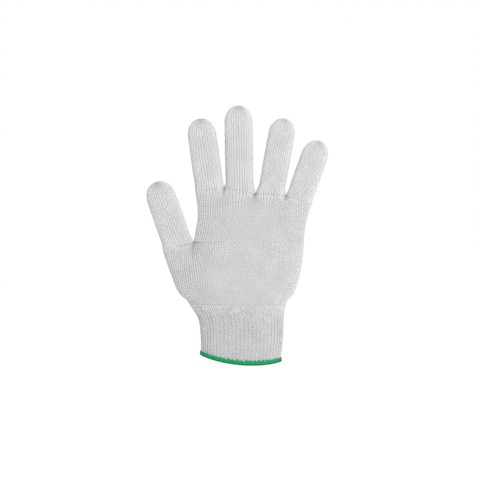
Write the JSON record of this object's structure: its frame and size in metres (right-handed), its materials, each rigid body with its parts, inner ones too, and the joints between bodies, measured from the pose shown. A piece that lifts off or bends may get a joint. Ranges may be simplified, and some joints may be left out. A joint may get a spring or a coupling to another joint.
{
  "type": "cotton work glove",
  "caption": "Seamless knitted cotton work glove in its worn shape, open at the wrist, with a ribbed cuff and an overlocked edge.",
  "frame": {"origin": "centre of the wrist opening, level with the lowest point of the cuff's edge", "axes": "+Z from the wrist to the fingertips, +X from the thumb to the little finger, +Y out of the back of the hand"},
  "size_m": [0.1659, 0.051, 0.2363],
  "materials": {
    "cotton_knit": "matt natural white string knit",
    "rib_knit": "matt natural white rib knit",
    "overlock_thread": "green overlock thread"
  },
  "bodies": {
    "root": {"palm": "cotton_knit", "thumb": "cotton_knit", "index_finger": "cotton_knit", "middle_finger": "cotton_knit", "ring_finger": "cotton_knit", "little_finger": "cotton_knit", "rib_cuff": "rib_knit", "edge_overlock": "overlock_thread"}
  },
  "joints": []
}
